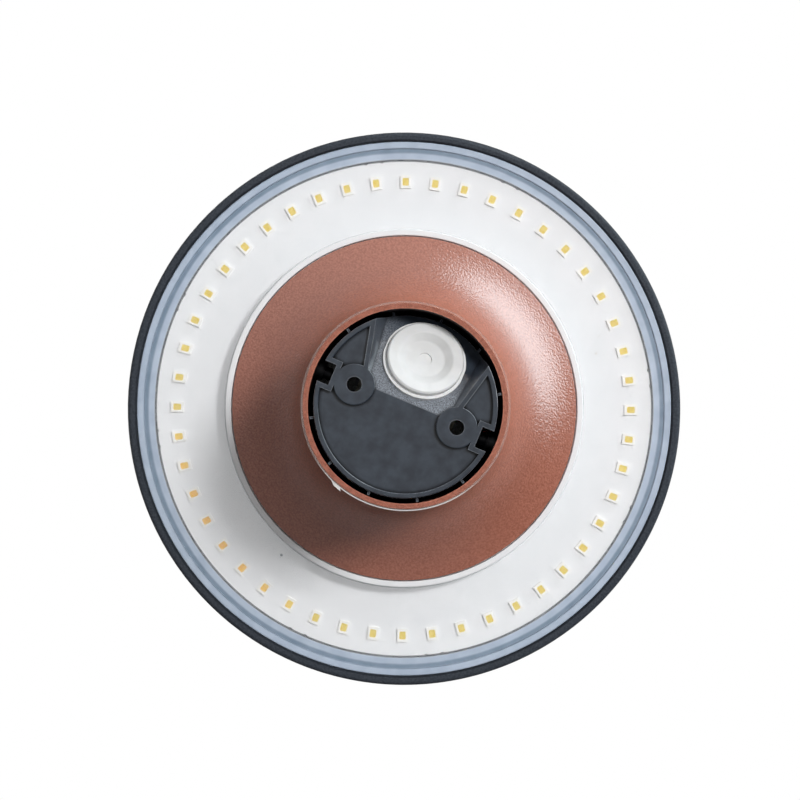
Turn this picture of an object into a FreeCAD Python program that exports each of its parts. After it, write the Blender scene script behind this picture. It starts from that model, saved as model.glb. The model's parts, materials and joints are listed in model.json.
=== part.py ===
"""Outdoor wall light: a trumpet-shaped stem carries a disc head whose ring of LEDs faces the wall.

Every solid is drawn in a working frame: X runs across the wall, Y up the wall, and Z is the depth,
measured from the wall towards the front. The finished solids are turned a quarter turn about X, so that
+Z is up, the wall is the plane Y = 0 and the light reaches out along -Y. All sizes are in millimetres.
"""
import FreeCAD
import Part
import math
import os

Vector = FreeCAD.Vector
AXIS = Vector(0, 0, 1)

# Clearances shared by the pieces that fit together
slide_clearance = 0.3       # between the wall base and the stem that slides over it
seat_clearance = 0.1        # round pieces dropped into a seat
thread_clearance = 0.02     # a screw in its thread
press_clearance = 0.02      # a pressed-in nut in its hole

# Stem: straight tube, flare and rim
stem_diameter = 49.0
stem_wall = 1.2
stem_length = 65.2
flare_diameter = 92.0
flare_arc = 34.0            # radius of the flare, seen in section
rim_band = 2.2              # straight band at the flare's edge
rim_wall = 1.6
stem_boss_radius = 3.2
stem_boss_inset = 7.5       # from the carrier plate's edge to its screws in the bosses
stem_boss_count = 3

# Wall seal on the mouth of the stem
seal_web = 0.8
seal_leg = 0.5
seal_leg_length = 3.2
seal_inset = 0.2            # the web stops short of the tube's bore
seal_tab_length = 2.2
seal_tab_width = 1.6
seal_tab_angle = -72.0      # place of the seal's split end, from +X

# Wall base: a moulded tray inside the mouth of the stem
base_gap = 1.3              # all round, from the base to the stem's bore
base_depth = 16.0
base_wall = 1.2
tray_depth = 1.5
tray_floor = 2.0
base_rib_count = 12
base_rib_width = 0.6
base_rib_start = 1.0
base_rib_end_gap = 2.0
wall_hole_radius = 1.8
base_boss_radius = 4.95
base_boss_to_notch = 0.7    # from a screw boss out to the notch's floor
base_boss_depth = 11.0
notch_side_gap = 0.3        # each side of the clinch nut's head
notch_depth = 3.1
base_edge_round = 0.25      # along the lips and bosses that meet the wall

# Cable pocket in the wall base, with a sloping floor
pocket_edge = 1.05          # height of the crease where the slope starts
pocket_crease_gap = 1.5     # along the slope, from the crease to the grommet
pocket_side_gap = 0.75      # from each side, at the crease, in to the grommet's flats
pocket_boss_reach = 2.45    # the screw bosses' reach into the pocket
pocket_splay = 13.7         # degrees, each side opening out upwards
pocket_draft = 14.0         # degrees, each side leaning in with depth
pocket_step = 0.4
pocket_slope = 25.0
pocket_floor = 1.8

# Cable grommet
grommet_flange = 0.9
grommet_seat_width = 3.5        # the flange's seat on the floor, in to the hole
grommet_step = 0.7              # the head's side, in from the flange
grommet_head_height = 2.6
grommet_head_round = 0.7
grommet_lip_width = 1.3         # the lip behind the floor, out from the hole
grommet_lip = 1.4
grommet_nose_taper = 0.6
grommet_nose = 1.2
grommet_wall = 2.4
grommet_top_width = 2.6         # flat ring round the dished face
grommet_dish_slope = 2.2        # width of the dish's sloping side
grommet_dish = 1.0
grommet_dish_round = 1.5
grommet_dimple_radius = 1.65
grommet_dimple = 0.5
grommet_membrane = 0.8

# Grub screws and the clinch nuts that hold them
grub_depth = 8.0
grub_radius = 1.5
grub_tip_gap = 0.1
grub_point = 0.5
grub_socket_width = 1.5
grub_socket_depth = 1.6
nut_head_radius = 2.3
nut_head = 1.9
nut_shank_radius = 2.0

# Head: front cap
head_diameter = 148.8
cap_rim_width = 2.5
cap_floor = 2.5
cap_crown = 2.6
cap_rim_rise = 0.4          # the rim's height over the cover's upper face
cap_rim_round = 1.1
cap_rim_bevel = 0.5
cap_front_round = 4.5
cap_post_radius = 3.4
cap_post_floor = 1.2

# Head: clear cover
cover_plate = 2.0
cover_collar_wall = 1.6
cover_collar_gap = 0.3      # between the collar and the stem's rim
cover_ledge = 3.6           # seat inside the collar
cover_groove_depth = 0.9
cover_groove_width = 1.4
cover_lip_width = 1.85
cover_lip = 0.6
cover_rib_width = 2.0
cover_edge_round = 0.3
cap_cover_gap = 0.15
gasket_shelf = 4.4          # the cap's shelf under the cover's edge

# Gaskets
collar_gasket = 1.0
cover_gasket = 1.5
gasket_inset = 0.2

# LED board
board_tongue = 2.7          # the board's inner edge, in from the cover's ledge
board_thickness = 1.2
board_gap = 0.4             # round the board's edge
board_standoff = 2.0        # from the cover down to the board
thermal_pad = 0.5
pad_inset = 1.0
led_count = 48
led_edge_distance = 5.8     # from the board's edge to the LEDs' middle
led_length = 3.5
led_width = 2.8
led_height = 0.75
led_window_length = 2.2
led_window_width = 1.8
led_window_depth = 0.3
led_window_fill = 0.25
bite_count = 4              # groups of break-off tabs round the board
bite_group_angle = 16.2
bite_half_span = 2.2
bite_radius = 0.55
bite_start_angle = 76.3     # of the first group, from +X
tooling_hole_radius = 0.4
tooling_hole_inset = 9.6    # in from the LEDs' circle
tooling_hole_angle = -73.0

# Carrier plate inside the flare
plate_edge_gap = 1.8        # from the plate's edge to the flare round it
plate_thickness = 1.5
plate_to_rim = 3.5          # the plate's front face, back from the rim of the stem
bush_hole_radius = 5.8
bush_inset = 9.5            # from the plate's edge to the bush's middle
bush_lip = 0.9
bush_bore_radius = 4.4
cap_screw_x = 17.0
cap_screw_y = 8.0

# Driver
driver_width = 24.0
driver_corner_gap = 2.5     # from the driver's square corners to the stem's bore
driver_height = 24.0
driver_wall = 1.5
driver_base = 5.0
driver_ear_gap = 0.2        # between an ear and the earth lug beside it
driver_ear_length = 7.5
driver_ear = 2.5
potting_recess = 1.0

# Terminal block
block_width = 26.0
block_length = 17.0
block_height = 12.0
pole_count = 3
pole_pitch = 8.0
clamp_side = 5.0
clamp_length = 13.0
clamp_bore_radius = 1.6
clamp_screw_radius = 1.25
clamp_screw_place = 4.2
clamp_screw_tip_gap = 0.1
block_screw_length = 3.0    # in the driver's case

# Screws
m3_radius = 1.5
m3_pilot_radius = 1.25
m3_head_radius = 2.75
m3_head = 2.0
m25_radius = 1.25
m25_head_radius = 2.1
m25_head = 1.5
slot_width = 0.7
slot_depth = 0.8
plate_screw_end_gap = 0.5   # left in the bottom of the hole
driver_screw_tail = 1.0

# Leads
lead_radius = 0.9
led_lead_radius = 0.8
led_lead_spacing = 6.0
led_lead_exit = 5.0         # from the plate's rear face back to the driver's side exit
led_lead_end_gap = 0.7      # short of the cover's ledge
lead_bend = 3.0
led_lead_bend = 4.0
earth_lead_bend = 5.0
lead_in_clamp = 5.0
mains_exit_inset = 3.5      # from the end of the driver
earth_run_gap = 4.0         # from the driver's side to the middle of the earth lead
lug_barrel_radius = 1.5
lug_barrel = 6.0
lug_thickness = 0.8
lug_ring_radius = 3.3
lug_reach = 4.5

# Radii and depths worked out from the sizes above
stem_radius = stem_diameter / 2
stem_bore = stem_radius - stem_wall
stem_mouth = seal_web
stem_end = stem_mouth + stem_length
flare_radius = flare_diameter / 2
flare_turn = math.acos(1 - (flare_radius - stem_radius) / flare_arc)
flare_end = stem_end - rim_band
flare_start = flare_end - flare_arc * math.sin(flare_turn)
flare_centre = stem_radius + flare_arc
rim_bore = flare_radius - rim_wall
base_radius = stem_bore - base_gap
lip_round = min(base_edge_round, base_wall / 4)
notch_width = 2 * (nut_head_radius + notch_side_gap)
notch_floor_radius = base_radius - notch_depth
screw_place = notch_floor_radius - base_boss_to_notch - base_boss_radius
pocket_half_width = screw_place - base_boss_radius + pocket_boss_reach
slope_angle = math.radians(pocket_slope)
slope_length = (base_radius - base_wall - pocket_edge) / math.cos(slope_angle)
grommet_flange_radius = (slope_length - pocket_crease_gap) / 2
grommet_height_on_wall = base_radius - base_wall - grommet_flange_radius * math.cos(slope_angle)
grommet_flat = pocket_half_width - pocket_side_gap
grommet_head_radius = grommet_flange_radius - grommet_step
grommet_hole_radius = grommet_flange_radius - grommet_seat_width
cover_seat = stem_end + collar_gasket
cover_front = cover_seat + cover_plate
board_face = cover_front + board_standoff
board_back = board_face + board_thickness
pad_back = board_back + thermal_pad
cap_shelf = cover_front + cover_gasket
cap_front = pad_back + cap_floor
cap_radius = head_diameter / 2
cap_rebate = cap_radius - cap_rim_width
cap_rim = cover_seat - cap_rim_rise
cover_radius = cap_rebate - cap_cover_gap
collar_bore = flare_radius + cover_collar_gap
ledge_bore = collar_bore - cover_ledge
cap_well = cap_rebate - gasket_shelf
board_radius = cap_well - board_gap
board_bore_radius = ledge_bore - board_tongue
led_circle = board_radius - led_edge_distance
cover_groove_outer = cover_radius - cover_lip_width
cover_groove_inner = cover_groove_outer - cover_groove_width
plate_front = stem_end - plate_to_rim
plate_rear = plate_front - plate_thickness
plate_room = flare_centre - math.sqrt((flare_arc + stem_wall) ** 2 - (plate_rear - flare_start) ** 2)
plate_radius = plate_room - plate_edge_gap
stem_boss_circle = plate_radius - stem_boss_inset
bush_place = plate_radius - bush_inset
driver_length = 2 * math.sqrt((stem_bore - driver_corner_gap) ** 2 - (driver_width / 2) ** 2)
driver_rear = plate_rear - driver_height
block_rear = driver_rear - block_height
clamp_axis = (block_rear + driver_rear) / 2
earth_pole = pole_pitch
earth_run = driver_length / 2 + earth_run_gap
driver_ear_half_width = earth_pole - lug_ring_radius - driver_ear_gap
lug_ring_y = -earth_run - lug_reach


class Outline:
    """A closed section in radius and depth, drawn edge by edge and turned about an axis along Z."""

    def __init__(self, radius, depth):
        self.first = self.here = Vector(radius, 0, depth)
        self.edges = []

    def line(self, radius, depth):
        there = Vector(radius, 0, depth)
        self.edges.append(Part.makeLine(self.here, there))
        self.here = there
        return self

    def arc(self, through, radius, depth):
        there = Vector(radius, 0, depth)
        middle = Vector(through[0], 0, through[1])
        self.edges.append(Part.Arc(self.here, middle, there).toShape())
        self.here = there
        return self

    def turned(self):
        self.line(self.first.x, self.first.z)
        face = Part.Face(Part.Wire(self.edges))
        return face.revolve(Vector(0, 0, 0), AXIS, 360)


def cylinder(radius, near, far, x=0.0, y=0.0):
    """A round bar along the depth, from near to far."""
    return Part.makeCylinder(radius, far - near, Vector(x, y, near), AXIS)


def ring(outer, inner, near, far):
    return cylinder(outer, near, far).cut(cylinder(inner, near, far))


def block(x0, x1, y0, y1, near, far):
    return Part.makeBox(x1 - x0, y1 - y0, far - near, Vector(x0, y0, near))


def polar(radius, degrees):
    angle = math.radians(degrees)
    return radius * math.cos(angle), radius * math.sin(angle)


def spun(shape, degrees):
    """A copy turned about the light's axis."""
    return shape.rotated(Vector(0, 0, 0), AXIS, degrees)


def fused(shapes):
    return shapes[0].multiFuse(shapes[1:]).removeSplitter()


def round_edges(shape, radius, depth):
    """The circular edges of one radius at one depth, for a fillet."""
    tolerance = 1e-4
    found = []
    for edge in shape.Edges:
        if edge.Degenerated or not isinstance(edge.Curve, Part.Circle):
            continue
        circle = edge.Curve
        if abs(circle.Radius - radius) < tolerance and abs(circle.Center.z - depth) < tolerance:
            found.append(edge)
    return found


def screw(x, y, seat, length, towards, radius, head_radius, head):
    """A slotted cheese-head screw: its head stands on the seat and its shank runs along towards (+1 or -1)."""
    ends = sorted((seat, seat + towards * length))
    shank = cylinder(radius, ends[0], ends[1], x, y)
    top = seat - towards * head
    head_ends = sorted((seat, top))
    cap = cylinder(head_radius, head_ends[0], head_ends[1], x, y)
    slot_ends = sorted((top, top + towards * slot_depth))
    slot = block(x - head_radius, x + head_radius, y - slot_width / 2, y + slot_width / 2, *slot_ends)
    return shank.fuse(cap).cut(slot)


def lead(points, bend, radius):
    """A wire along straight runs joined by tangent arcs of one radius."""
    points = [Vector(*p) for p in points]
    edges = []
    start = points[0]
    for before, corner, after in zip(points, points[1:], points[2:]):
        back = (before - corner).normalize()
        ahead = (after - corner).normalize()
        half_turn = (math.pi - back.getAngle(ahead)) / 2
        reach = bend * math.tan(half_turn)
        middle = (back + ahead).normalize() * (bend / math.cos(half_turn) - bend)
        enter, leave = corner + back * reach, corner + ahead * reach
        edges.append(Part.makeLine(start, enter))
        edges.append(Part.Arc(enter, corner + middle, leave).toShape())
        start = leave
    edges.append(Part.makeLine(start, points[-1]))
    path = Part.Wire(edges)
    section = Part.Wire(Part.makeCircle(radius, points[0], points[1] - points[0]))
    return path.makePipeShell([section], True, False)


def stem_outer():
    """The stem's outside, filled, which also trims its inner bosses."""
    middle = flare_turn / 2
    through = (flare_centre - flare_arc * math.cos(middle), flare_start + flare_arc * math.sin(middle))
    outline = Outline(0, stem_mouth).line(stem_radius, stem_mouth).line(stem_radius, flare_start)
    outline.arc(through, flare_radius, flare_end).line(flare_radius, stem_end)
    return outline.line(0, stem_end).turned()


def stem_cavity():
    """The stem's inside: the bore, and a flare that is the wall's thickness in from the outer one."""
    arc = flare_arc + stem_wall
    turn = math.acos((flare_centre - rim_bore) / arc)
    through = (flare_centre - arc * math.cos(turn / 2), flare_start + arc * math.sin(turn / 2))
    outline = Outline(0, stem_mouth).line(stem_bore, stem_mouth).line(stem_bore, flare_start)
    outline.arc(through, rim_bore, flare_start + arc * math.sin(turn)).line(rim_bore, stem_end)
    return outline.line(0, stem_end).turned()


def flare_depth(radius):
    """Depth of the flare's outside at a radius."""
    return flare_start + math.sqrt(flare_arc ** 2 - (flare_centre - radius) ** 2)


def stem_pilot_end():
    """Bottom of the blind holes in the stem's bosses, a wall's thickness short of the outside."""
    return flare_depth(stem_boss_circle + m3_pilot_radius) + stem_wall


def boss_places():
    step = 360 / stem_boss_count
    return [polar(stem_boss_circle, step * i) for i in range(stem_boss_count)]


def stem():
    outer = stem_outer()
    shell = outer.cut(stem_cavity())
    for x, y in boss_places():
        boss = cylinder(stem_boss_radius, flare_start, plate_rear, x, y).common(outer)
        shell = shell.fuse(boss)
    for x, y in boss_places():
        shell = shell.cut(cylinder(m3_pilot_radius, stem_pilot_end(), plate_rear, x, y))
    across = Part.makeCylinder(nut_shank_radius + press_clearance, 2 * stem_diameter,
                               Vector(-stem_diameter, 0, grub_depth), Vector(1, 0, 0))
    return shell.cut(across).removeSplitter()


def wall_seal():
    """Clear edge seal: a web over the mouth's end, a leg down its outside, and the strip's split end."""
    outer = stem_radius + seal_leg
    outline = Outline(stem_bore + seal_inset, 0).line(outer, 0).line(outer, seal_leg_length)
    outline.line(stem_radius, seal_leg_length).line(stem_radius, stem_mouth)
    body = outline.line(stem_bore + seal_inset, stem_mouth).turned()
    root = outer - seal_leg / 2
    corners = [(root, -seal_tab_width / 2), (outer + seal_leg, -seal_tab_width),
               (outer + seal_leg, seal_tab_length - seal_tab_width), (root, seal_tab_length)]
    wire = Part.makePolygon([Vector(x, y, 0) for x, y in corners + corners[:1]])
    tab = Part.Face(wire).extrude(Vector(0, 0, seal_web))
    return fused([body, spun(tab, seal_tab_angle)])


def pocket_prism(drop, top, edge):
    """The space over the cable pocket's sloping floor, or over that floor dropped by its thickness."""
    reach = stem_radius
    rise = math.tan(slope_angle)
    start = tray_depth + pocket_step + drop
    profile = [(edge, top), (edge, start), (reach, start + (reach - pocket_edge) * rise), (reach, top)]
    wire = Part.makePolygon([Vector(-reach, y, z) for y, z in profile + profile[:1]])
    return Part.Face(wire).extrude(Vector(2 * reach, 0, 0))


def pocket_sides(widen):
    """The pocket's plan, drafted with depth: a trapezium that opens out upwards and narrows forwards."""
    splay = math.tan(math.radians(pocket_splay))
    draft = math.tan(math.radians(pocket_draft))
    wires = []
    for depth in (-base_depth, base_depth):
        near = pocket_half_width + widen - depth * draft
        bottom = pocket_edge - tray_floor
        lower = near - tray_floor * splay
        upper = near + (stem_radius - pocket_edge) * splay
        corners = [(-lower, bottom), (lower, bottom), (upper, stem_radius), (-upper, stem_radius)]
        wires.append(Part.makePolygon([Vector(x, y, depth) for x, y in corners + corners[:1]]))
    return Part.makeLoft(wires, True, True)


def notch_block(widen):
    """The grub screw's notch at +X, or the walls round it when widened."""
    half = notch_width / 2 + widen
    return block(notch_floor_radius - widen, stem_radius, -half, half, -base_depth, 2 * base_depth)


def grommet_frame(shape):
    """Places a shape drawn about Z on the pocket's floor, with Z out of the floor towards the wall."""
    rise = math.tan(slope_angle)
    depth = tray_depth + pocket_step + (grommet_height_on_wall - pocket_edge) * rise
    tilt = FreeCAD.Rotation(Vector(1, 0, 0), 180 + pocket_slope)
    placed = shape.copy()
    placed.Placement = FreeCAD.Placement(Vector(0, grommet_height_on_wall, depth), tilt)
    return placed


def eased_bar(radius, far, x=0.0, y=0.0):
    """A round bar from the wall plane, with its edge there eased."""
    bar = cylinder(radius, 0, far)
    bar = bar.makeFillet(lip_round, round_edges(bar, radius, 0))
    return bar.translated(Vector(x, y, 0))


def tray_recess(radius):
    """The tray's hollow on the wall side, opening out round the lip's eased edge."""
    corner = lip_round * (1 - math.sqrt(0.5))
    outline = Outline(0, 0).line(radius + lip_round, 0)
    outline.arc((radius + corner, corner), radius, lip_round)
    return outline.line(radius, tray_depth).line(0, tray_depth).turned()


def wall_base():
    envelope = eased_bar(base_radius, base_depth)
    inner = base_radius - base_wall
    boss_spots = [(-screw_place, 0), (screw_place, 0)]
    bosses = [eased_bar(base_boss_radius, base_boss_depth, x, y) for x, y in boss_spots]
    notches = [spun(notch_block(0), turn) for turn in (0, 180)]
    notch_walls = [spun(notch_block(base_wall), turn).common(envelope) for turn in (0, 180)]
    floor_drop = pocket_floor / math.cos(slope_angle)
    pocket_walls = pocket_prism(floor_drop, 0, pocket_edge).common(pocket_sides(base_wall)).common(envelope)

    skirt = envelope.cut(cylinder(inner, tray_depth + tray_floor, base_depth))
    body = fused([skirt.cut(tray_recess(inner)), pocket_walls] + notch_walls + bosses)
    for index in range(base_rib_count):
        rib = block(base_radius - base_wall / 2, stem_bore - slide_clearance, -base_rib_width / 2,
                    base_rib_width / 2, base_rib_start, base_depth - base_rib_end_gap)
        body = body.fuse(spun(rib, 360 / base_rib_count * index))

    hollow = pocket_prism(0, -base_depth, pocket_edge).common(pocket_sides(0))
    for boss in bosses:
        hollow = hollow.cut(boss)
    body = body.cut(hollow)
    for notch in notches:
        body = body.cut(notch)
    for x, y in boss_spots:
        body = body.cut(cylinder(wall_hole_radius, 0, base_boss_depth, x, y))
    body = body.cut(grommet_frame(cylinder(grommet_hole_radius, -base_depth, base_depth / 2)))
    return body.removeSplitter()


def cable_grommet():
    """Soft bung with a groove for the floor, a dished face and a thin dimple to pierce."""
    neck = grommet_hole_radius - seat_clearance
    lip = grommet_hole_radius + grommet_lip_width
    bore = grommet_hole_radius - grommet_wall
    back = -pocket_floor - seat_clearance
    lip_end = back - grommet_lip
    nose_end = lip_end - grommet_nose
    top = grommet_head_height
    dish = top - grommet_dish
    dimple = dish - grommet_dimple
    dish_radius = grommet_head_radius - grommet_top_width
    dish_floor_radius = dish_radius - grommet_dish_slope
    outline = Outline(0, dimple).line(grommet_dimple_radius, dimple).line(grommet_dimple_radius, dish)
    outline.line(dish_floor_radius, dish).line(dish_radius, top).line(grommet_head_radius, top)
    outline.line(grommet_head_radius, grommet_flange).line(grommet_flange_radius, grommet_flange)
    outline.line(grommet_flange_radius, 0).line(neck, 0).line(neck, back).line(lip, back).line(lip, lip_end)
    outline.line(grommet_hole_radius - grommet_nose_taper, nose_end).line(bore, nose_end)
    outline.line(bore, dimple - grommet_membrane)
    bung = outline.line(0, dimple - grommet_membrane).turned()
    bung = bung.makeFillet(grommet_head_round, round_edges(bung, grommet_head_radius, top))
    dish_edges = round_edges(bung, dish_radius, top) + round_edges(bung, dish_floor_radius, dish)
    bung = bung.makeFillet(grommet_dish_round, dish_edges)
    for side in (-1, 1):
        ends = sorted((side * grommet_flat, side * (grommet_flat + grommet_flange_radius)))
        bung = bung.cut(block(*ends, -grommet_flange_radius, grommet_flange_radius, 0, grommet_flange))
    return grommet_frame(bung)


def clinch_nut():
    """Nut pressed through the stem's wall at +X: a head inside and a shank flush with the outside."""
    seat = math.sqrt(stem_bore ** 2 - nut_head_radius ** 2) - press_clearance
    end = math.sqrt(stem_radius ** 2 - nut_shank_radius ** 2)
    outline = Outline(grub_radius + thread_clearance, seat - nut_head)
    outline.line(nut_head_radius, seat - nut_head).line(nut_head_radius, seat)
    outline.line(nut_shank_radius, seat).line(nut_shank_radius, end)
    nut = outline.line(grub_radius + thread_clearance, end).turned()
    return along_x(nut)


def along_x(shape):
    """Turns a shape drawn about Z so that its axis lies along +X at the grub screws' depth."""
    placed = shape.copy()
    placed.Placement = FreeCAD.Placement(Vector(0, 0, grub_depth), FreeCAD.Rotation(Vector(0, 1, 0), 90))
    return placed


def clinch_nuts():
    return Part.makeCompound([spun(clinch_nut(), turn) for turn in (0, 180)])


def grub_screw(turn):
    """Socket set screw whose point bears on the floor of the wall base's notch."""
    tip = notch_floor_radius + grub_tip_gap
    end = math.sqrt(stem_radius ** 2 - nut_shank_radius ** 2)
    outline = Outline(0, tip).line(grub_radius - grub_point, tip).line(grub_radius, tip + grub_point)
    body = outline.line(grub_radius, end).line(0, end).turned()
    corner = grub_socket_width / math.sqrt(3)
    corners = [Vector(*polar(corner, 60 * i), end) for i in range(7)]
    socket = Part.Face(Part.makePolygon(corners)).extrude(Vector(0, 0, -grub_socket_depth))
    return spun(along_x(body.cut(socket)), turn)


def front_cap():
    """Cast dish: crowned front, a floor behind the board, a shelf for the gasket and screw posts."""
    crown_depth = cap_front + cap_crown
    half = cap_radius / 2
    curve = (cap_radius ** 2 + cap_crown ** 2) / (2 * cap_crown)
    crown_middle = crown_depth - curve + math.sqrt(curve ** 2 - half ** 2)
    outline = Outline(0, pad_back).line(cap_well, pad_back).line(cap_well, cap_shelf)
    outline.line(cap_rebate, cap_shelf).line(cap_rebate, cap_rim + cap_rim_bevel)
    outline.line(cap_rebate + cap_rim_bevel, cap_rim).line(cap_radius, cap_rim)
    outline.line(cap_radius, cap_front).arc((half, crown_middle), 0, crown_depth)
    dish = outline.turned()
    dish = dish.makeFillet(cap_rim_round, round_edges(dish, cap_radius, cap_rim))
    dish = dish.makeFillet(cap_front_round, round_edges(dish, cap_radius, cap_front))
    for x, y in cap_screw_places():
        dish = dish.fuse(cylinder(cap_post_radius, plate_front, pad_back, x, y))
        dish = dish.cut(cylinder(m3_pilot_radius, plate_front, pad_back - cap_post_floor, x, y))
    return dish.removeSplitter()


def cap_screw_places():
    return [(i * cap_screw_x, j * cap_screw_y) for i in (-1, 1) for j in (-1, 1)]


def clear_cover():
    """Clear ring over the LEDs: inner ledge and collar round the stem's rim, grooved outer edge."""
    collar_outer = collar_bore + cover_collar_wall
    rib_outer = ledge_bore + cover_rib_width
    lip_top = cover_seat - cover_lip
    outline = Outline(ledge_bore, cover_seat).line(collar_bore, cover_seat)
    outline.line(collar_bore, flare_end).line(collar_outer, flare_end).line(collar_outer, cover_seat)
    outline.line(cover_groove_inner, cover_seat).line(cover_groove_inner, cover_seat + cover_groove_depth)
    outline.line(cover_groove_outer, cover_seat + cover_groove_depth).line(cover_groove_outer, lip_top)
    outline.line(cover_radius, lip_top).line(cover_radius, cover_front).line(rib_outer, cover_front)
    outline.line(rib_outer, board_face).line(ledge_bore, board_face)
    cover = outline.turned()
    edges = round_edges(cover, collar_outer, flare_end) + round_edges(cover, collar_bore, flare_end)
    edges += round_edges(cover, cover_groove_outer, lip_top) + round_edges(cover, cover_radius, lip_top)
    return cover.makeFillet(min(cover_edge_round, cover_collar_wall / 3), edges)


def cover_gasket_ring():
    return ring(cover_radius - gasket_inset, cap_well + gasket_inset, cover_front, cap_shelf)


def collar_gasket_ring():
    return ring(flare_radius - gasket_inset, rim_bore - gasket_inset, stem_end, cover_seat)


def led_angles():
    step = 360 / led_count
    return [step * i for i in range(led_count)]


def led_board():
    """White ring board with the rough bites that its break-off tabs left in the edge."""
    board = ring(board_radius, board_bore_radius, board_face, board_back)
    cuts = []
    for index in range(bite_count):
        for side in (-1, 1):
            tab = bite_start_angle + 360 / bite_count * index + side * bite_group_angle
            for end in (-1, 1):
                angle = tab + end * math.degrees(bite_half_span / board_radius)
                x, y = polar(board_radius, angle)
                cuts.append(cylinder(bite_radius, board_face, board_back, x, y))
    x, y = polar(led_circle - tooling_hole_inset, tooling_hole_angle)
    cuts.append(cylinder(tooling_hole_radius, board_face, board_back, x, y))
    return board.cut(Part.makeCompound(cuts))


def led_package():
    """One LED body at +X, with the window that its phosphor fills."""
    x0, half = led_circle - led_length / 2, led_width / 2
    top = board_face - led_height
    body = block(x0, x0 + led_length, -half, half, top, board_face)
    return body.cut(led_window(top, top + led_window_depth))


def led_window(near, far):
    x0, half = led_circle - led_window_length / 2, led_window_width / 2
    return block(x0, x0 + led_window_length, -half, half, near, far)


def led_packages():
    return Part.makeCompound([spun(led_package(), angle) for angle in led_angles()])


def led_phosphors():
    floor = board_face - led_height + led_window_depth
    fill = led_window(floor - led_window_fill, floor)
    return Part.makeCompound([spun(fill, angle) for angle in led_angles()])


def thermal_pad_ring():
    return ring(board_radius - pad_inset, board_bore_radius + pad_inset, board_back, pad_back)


def carrier_plate():
    """Pressed plate that ties the stem to the cap and carries the driver."""
    plate = cylinder(plate_radius, plate_rear, plate_front)
    spots = boss_places() + cap_screw_places() + driver_screw_places() + [(earth_pole, lug_ring_y)]
    for x, y in spots:
        plate = plate.cut(cylinder(m3_radius + thread_clearance, plate_rear, plate_front, x, y))
    return plate.cut(cylinder(bush_hole_radius, plate_rear, plate_front, -bush_place, 0))


def plate_screws():
    length = plate_front - stem_pilot_end() - plate_screw_end_gap
    return Part.makeCompound([screw(x, y, plate_front, length, -1, m3_pilot_radius, m3_head_radius, m3_head)
                              for x, y in boss_places()])


def cap_screws():
    length = pad_back - cap_post_floor - seat_clearance - plate_rear
    return Part.makeCompound([screw(x, y, plate_rear, length, 1, m3_pilot_radius, m3_head_radius, m3_head)
                              for x, y in cap_screw_places()])


def lead_bush():
    """Rubber bush snapped into the carrier plate where the LED leads pass."""
    outer = bush_hole_radius + bush_lip
    neck = bush_hole_radius - press_clearance
    outline = Outline(bush_bore_radius, plate_rear - bush_lip).line(outer, plate_rear - bush_lip)
    outline.line(outer, plate_rear).line(neck, plate_rear).line(neck, plate_front)
    outline.line(outer, plate_front).line(outer, plate_front + bush_lip)
    bush = outline.line(bush_bore_radius, plate_front + bush_lip).turned()
    return bush.translated(Vector(-bush_place, 0, 0))


def driver_screw_places():
    reach = driver_length / 2 + driver_ear_length / 2
    return [(0, -reach), (0, reach)]


def block_screw_places():
    return [(-pole_pitch / 2, 0), (pole_pitch / 2, 0)]


def driver_case():
    """Tub of the LED driver, open towards the plate, with two ears."""
    half_x, half_y = driver_width / 2, driver_length / 2
    tub = block(-half_x, half_x, -half_y, half_y, driver_rear, plate_rear)
    vertical = [e for e in tub.Edges if abs(e.tangentAt(e.FirstParameter).z) > 0.5]
    tub = tub.makeFillet(driver_wall, vertical)
    ears = block(-driver_ear_half_width, driver_ear_half_width, -half_y - driver_ear_length,
                 half_y + driver_ear_length, plate_rear - driver_ear, plate_rear)
    tub = tub.fuse(ears).cut(driver_well())
    for x, y in driver_screw_places():
        tub = tub.cut(cylinder(m3_radius + seat_clearance, plate_rear - driver_ear, plate_rear, x, y))
    for x, y in block_screw_places():
        tub = tub.cut(cylinder(m25_radius, driver_rear, driver_rear + block_screw_length, x, y))
    return tub.removeSplitter()


def driver_well():
    x, y = driver_width / 2 - driver_wall, driver_length / 2 - driver_wall
    return block(-x, x, -y, y, driver_rear + driver_base, plate_rear)


def driver_potting():
    x, y = driver_width / 2 - driver_wall, driver_length / 2 - driver_wall
    return block(-x, x, -y, y, driver_rear + driver_base, plate_rear - potting_recess)


def driver_screws():
    seat = plate_rear - driver_ear
    length = driver_ear + plate_thickness + driver_screw_tail
    return Part.makeCompound([screw(x, y, seat, length, 1, m3_radius, m3_head_radius, m3_head)
                              for x, y in driver_screw_places()])


def pole_places():
    return [pole_pitch * (i - (pole_count - 1) / 2) for i in range(pole_count)]


def clamp_cell(x, grow):
    half = clamp_side / 2 + grow
    length = clamp_length / 2 + grow
    return block(x - half, x + half, -length, length, clamp_axis - half, clamp_axis + half)


def pole_bore(x, radius, length):
    return Part.makeCylinder(radius, length, Vector(x, -length / 2, clamp_axis), Vector(0, 1, 0))


def terminal_block():
    """Three-pole block on the driver, its screws facing the mouth of the stem."""
    body = block(-block_width / 2, block_width / 2, -block_length / 2, block_length / 2, block_rear, driver_rear)
    for x in pole_places():
        body = body.cut(clamp_cell(x, press_clearance)).cut(pole_bore(x, clamp_bore_radius, block_length))
        for y in (-clamp_screw_place, clamp_screw_place):
            body = body.cut(cylinder(m25_head_radius, block_rear, clamp_axis, x, y))
    for x, y in block_screw_places():
        body = body.cut(cylinder(m25_radius, block_rear, driver_rear, x, y))
    return body


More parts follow.
